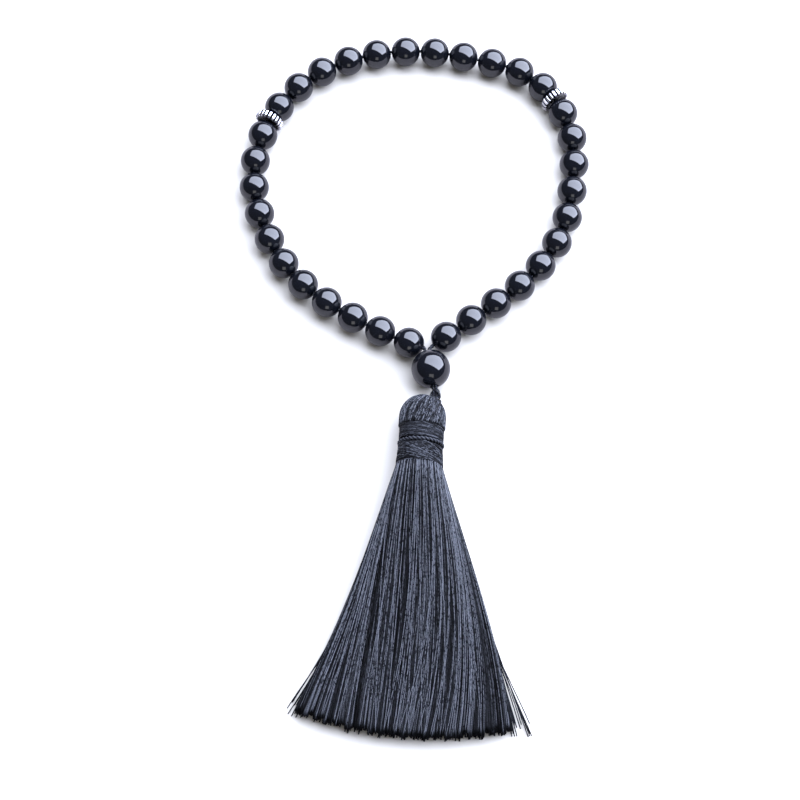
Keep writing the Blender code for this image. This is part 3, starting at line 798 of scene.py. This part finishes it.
def makeSoftbox(name, corners, distance, strength, colour, fade):
    # a flat cloth panel whose corners lie in the given directions, its light fading across it
    corners = unit(corners)
    out = unit(corners.mean(0))
    places = corners * distance / (corners @ out)[:, None]
    material = bpy.data.materials.new(name)
    material.use_nodes = True
    tree = material.node_tree
    tree.nodes.clear()
    level = addNode(tree, "ShaderNodeAttribute", {"attribute_name": "level"})
    glow = addNode(tree, "ShaderNodeEmission", {"Color": linear(colour)})
    power = addNode(tree, "ShaderNodeMath", {"operation": "MULTIPLY", 1: strength}, {0: level.outputs["Fac"]})
    tree.links.new(power.outputs[0], glow.inputs["Strength"])
    back = addNode(tree, "ShaderNodeNewGeometry")
    none = addNode(tree, "ShaderNodeEmission", {"Strength": 0.0})
    sides = addNode(tree, "ShaderNodeMixShader", None,
                    {0: back.outputs["Backfacing"], 1: glow.outputs[0], 2: none.outputs[0]})
    addNode(tree, "ShaderNodeOutputMaterial", None, {0: sides.outputs[0]})
    panel = newPiece(name, places, [list(range(len(places)))], material, attributes={"level": fade})
    panel.visible_camera = panel.visible_shadow = False


def addPanel(name, towards, distance, size, watts, inReflections=True):
    # a square lamp in a direction from the object, facing it
    out = unit(towards)
    flat = unit(np.cross([0.0, 1.0, 0.0], out))
    lamp = bpy.data.lights.new(name, "AREA")
    lamp.shape, lamp.size, lamp.energy = "SQUARE", size, watts
    panel = bpy.data.objects.new(name, lamp)
    bpy.context.scene.collection.objects.link(panel)
    axes = np.eye(4)
    axes[:3, 0], axes[:3, 1], axes[:3, 2], axes[:3, 3] = flat, np.cross(out, flat), out, out * distance
    panel.matrix_world = Matrix(axes.tolist())
    panel.visible_camera = False
    panel.visible_glossy = inReflections


light = {"keyCorners": [(-0.30, 0.84, 0.45), (0.59, 0.79, 0.18), (0.945, 0.237, 0.223),
                        (0.716, -0.361, 0.597),
                        (-0.575, 0.289, 0.766)],
         "keyFade": [0.75, 0.95, 1.25, 1.25, 0.7], "keyStrength": 10.5, "keyDistance": 0.75,
         "keyColour": "#dfe7ff", "smallTowards": (0.04, -0.9, 0.44), "smallDistance": 0.8, "smallSize": 0.34,
         "smallWatts": 0.5, "fillTowards": (0, 0.001, 1), "fillDistance": 1.1, "fillSize": 1.6,
         "fillWatts": 4.0,
         "worldColour": "#e8ecff", "worldStrength": 0.12}

whiteBoard = makeBoard("white_board", "#c3bfb6", -0.08 * mm)
whiteBoard.visible_glossy = False
# polished stone shows the board much darker, so a second one is seen only in reflections
mirroredBoard = makeBoard("board_in_reflections", "#9c9796", -0.03 * mm)
mirroredBoard.visible_camera = mirroredBoard.visible_diffuse = mirroredBoard.visible_shadow = False
makeSoftbox("key_softbox", light["keyCorners"], light["keyDistance"], light["keyStrength"],
            light["keyColour"],
            light["keyFade"])
addPanel("front_strip", light["smallTowards"], light["smallDistance"], light["smallSize"],
         light["smallWatts"])
addPanel("overhead_fill", light["fillTowards"], light["fillDistance"], light["fillSize"], light["fillWatts"],
         inReflections=False)

world = bpy.data.worlds.new("studio")
bpy.context.scene.world = world
world.use_nodes = True
sky = world.node_tree.nodes["Background"]
sky.inputs["Color"].default_value = linear(light["worldColour"])
sky.inputs["Strength"].default_value = light["worldStrength"]

camera = {"lens": 71.4, "elevation": 69.48, "distance": 404.2 * mm, "aim": (-3.9 * mm, -11.1 * mm, 3.95 * mm)}


def makeCamera():
    lens = bpy.data.cameras.new("camera")
    lens.lens, lens.sensor_width, lens.clip_start = camera["lens"], 36.0, 0.01
    viewer = bpy.data.objects.new("camera", lens)
    bpy.context.scene.collection.objects.link(viewer)
    tip = np.radians(camera["elevation"])
    back = np.array([0, -np.cos(tip), np.sin(tip)])
    viewer.location = np.array(camera["aim"]) + camera["distance"] * back
    viewer.rotation_euler = (np.pi / 2 - tip, 0, 0)
    bpy.context.scene.camera = viewer


makeCamera()
bpy.context.scene.view_settings.view_transform = "Standard"
